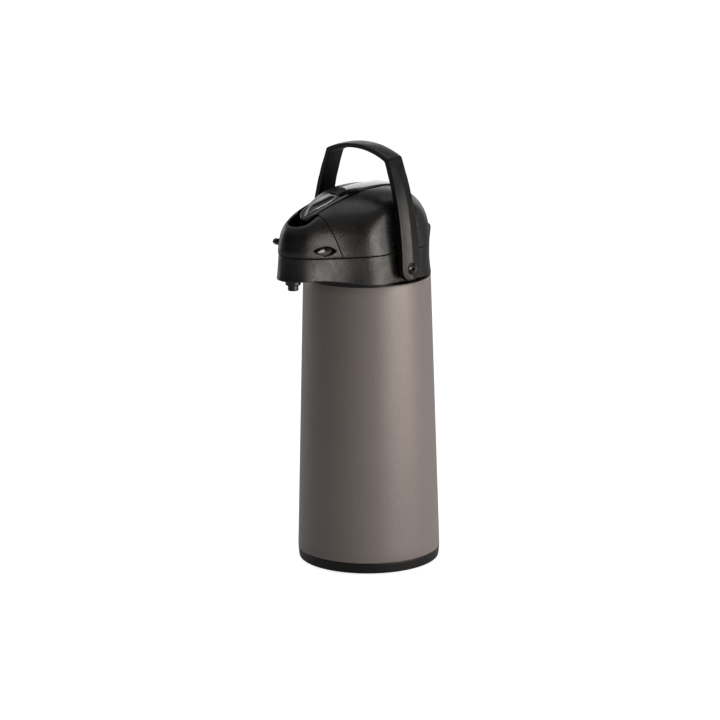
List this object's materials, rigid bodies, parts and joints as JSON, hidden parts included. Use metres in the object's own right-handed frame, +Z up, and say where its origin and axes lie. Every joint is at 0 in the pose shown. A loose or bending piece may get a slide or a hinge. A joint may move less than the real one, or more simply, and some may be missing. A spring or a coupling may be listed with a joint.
{
  "type": "lever airpot",
  "caption": "Lever-pump thermal coffee airpot: tapered vacuum body, hinged beaked lid with pump lever, spout under the beak, and a swinging bail handle.",
  "frame": {"origin": "centre of the rest face, on the underside of the foot's centre pad", "axes": "+Z up the body's centre line, -Y towards the beak and spout, X along the handle's pivots"},
  "size_m": [0.142, 0.1861, 0.423],
  "materials": {
    "base_black": "fine satin moulding",
    "foot_rubber": "matt rubber",
    "steel_screw": "bright zinc",
    "body_paint": "satin warm grey paint over steel sheet",
    "liner_glass": "silvered vacuum glass",
    "cradle_plastic": "plain moulding",
    "soft_seal": "pale food-grade silicone",
    "head_black": "satin black moulding with fine grain",
    "clear_plug": "natural food-grade moulding",
    "tube_plastic": "natural tube",
    "pin_steel": "drawn steel",
    "handle_black": "satin black moulding",
    "lever_gloss": "polished black moulding",
    "badge_bright": "bright metallised plate",
    "bar_gloss": "polished black moulding",
    "bellows_white": "soft moulded bellows"
  },
  "bodies": {
    "pot": {"foot_ring": "foot_rubber", "base_cap": "base_black", "base_screws": "steel_screw", "outer_body": "body_paint", "liner_cradle": "cradle_plastic", "liner_cushion": "soft_seal", "liner_outer_flask": "liner_glass", "liner_inner_flask": "liner_glass", "neck_ring": "base_black", "mouth_gasket": "soft_seal", "mouth_plug": "clear_plug", "dip_tube": "tube_plastic", "collar": "head_black", "hinge_pin": "pin_steel", "collar_screws": "steel_screw", "spout_nozzle": "head_black", "spout_pipe": "tube_plastic", "handle_pivots": "handle_black"},
    "lid": {"lid_shell": "head_black", "nose_cover": "head_black", "lever_pin": "pin_steel", "lid_plate": "cradle_plastic", "lid_gasket": "soft_seal", "lid_screws": "steel_screw", "bellows": "bellows_white", "pump_spring": "pin_steel", "valve_disc": "soft_seal"},
    "lever": {"pump_lever": "lever_gloss", "lever_badge": "badge_bright"},
    "plunger": {"push_plate": "cradle_plastic"},
    "lock": {"lock_bar": "bar_gloss"},
    "handle": {"handle": "handle_black"}
  },
  "joints": [
    {"name": "lid_hinge", "type": "hinge", "parent": "pot", "child": "lid", "pos_m": [0, 0.0625, 0.3295], "axis": [-1, 0, 0], "range_deg": [0, 39]},
    {"name": "handle_swing", "type": "hinge", "parent": "pot", "child": "handle", "pos_m": [0, -0.003, 0.306], "axis": [-1, 0, 0], "range_deg": [0, 86]},
    {"name": "lever_press", "type": "hinge", "parent": "lid", "child": "lever", "pos_m": [0, 0.04, 0.364], "axis": [1, 0, 0], "range_deg": [0, 8]},
    {"name": "plunger_stroke", "type": "slide", "parent": "lid", "child": "plunger", "axis": [0, 0, -1], "range_m": [0, 0.0063], "deforming": ["bellows", "pump_spring"]},
    {"name": "lock_slide", "type": "slide", "parent": "lid", "child": "lock", "axis": [1, 0, 0], "range_m": [0, 0.005]}
  ],
  "couplings": [
    {"joint": "handle_swing", "follows": "lid_hinge", "ratio": 2.2},
    {"joint": "plunger_stroke", "follows": "lever_press", "m_per_rad": 0.045}
  ]
}
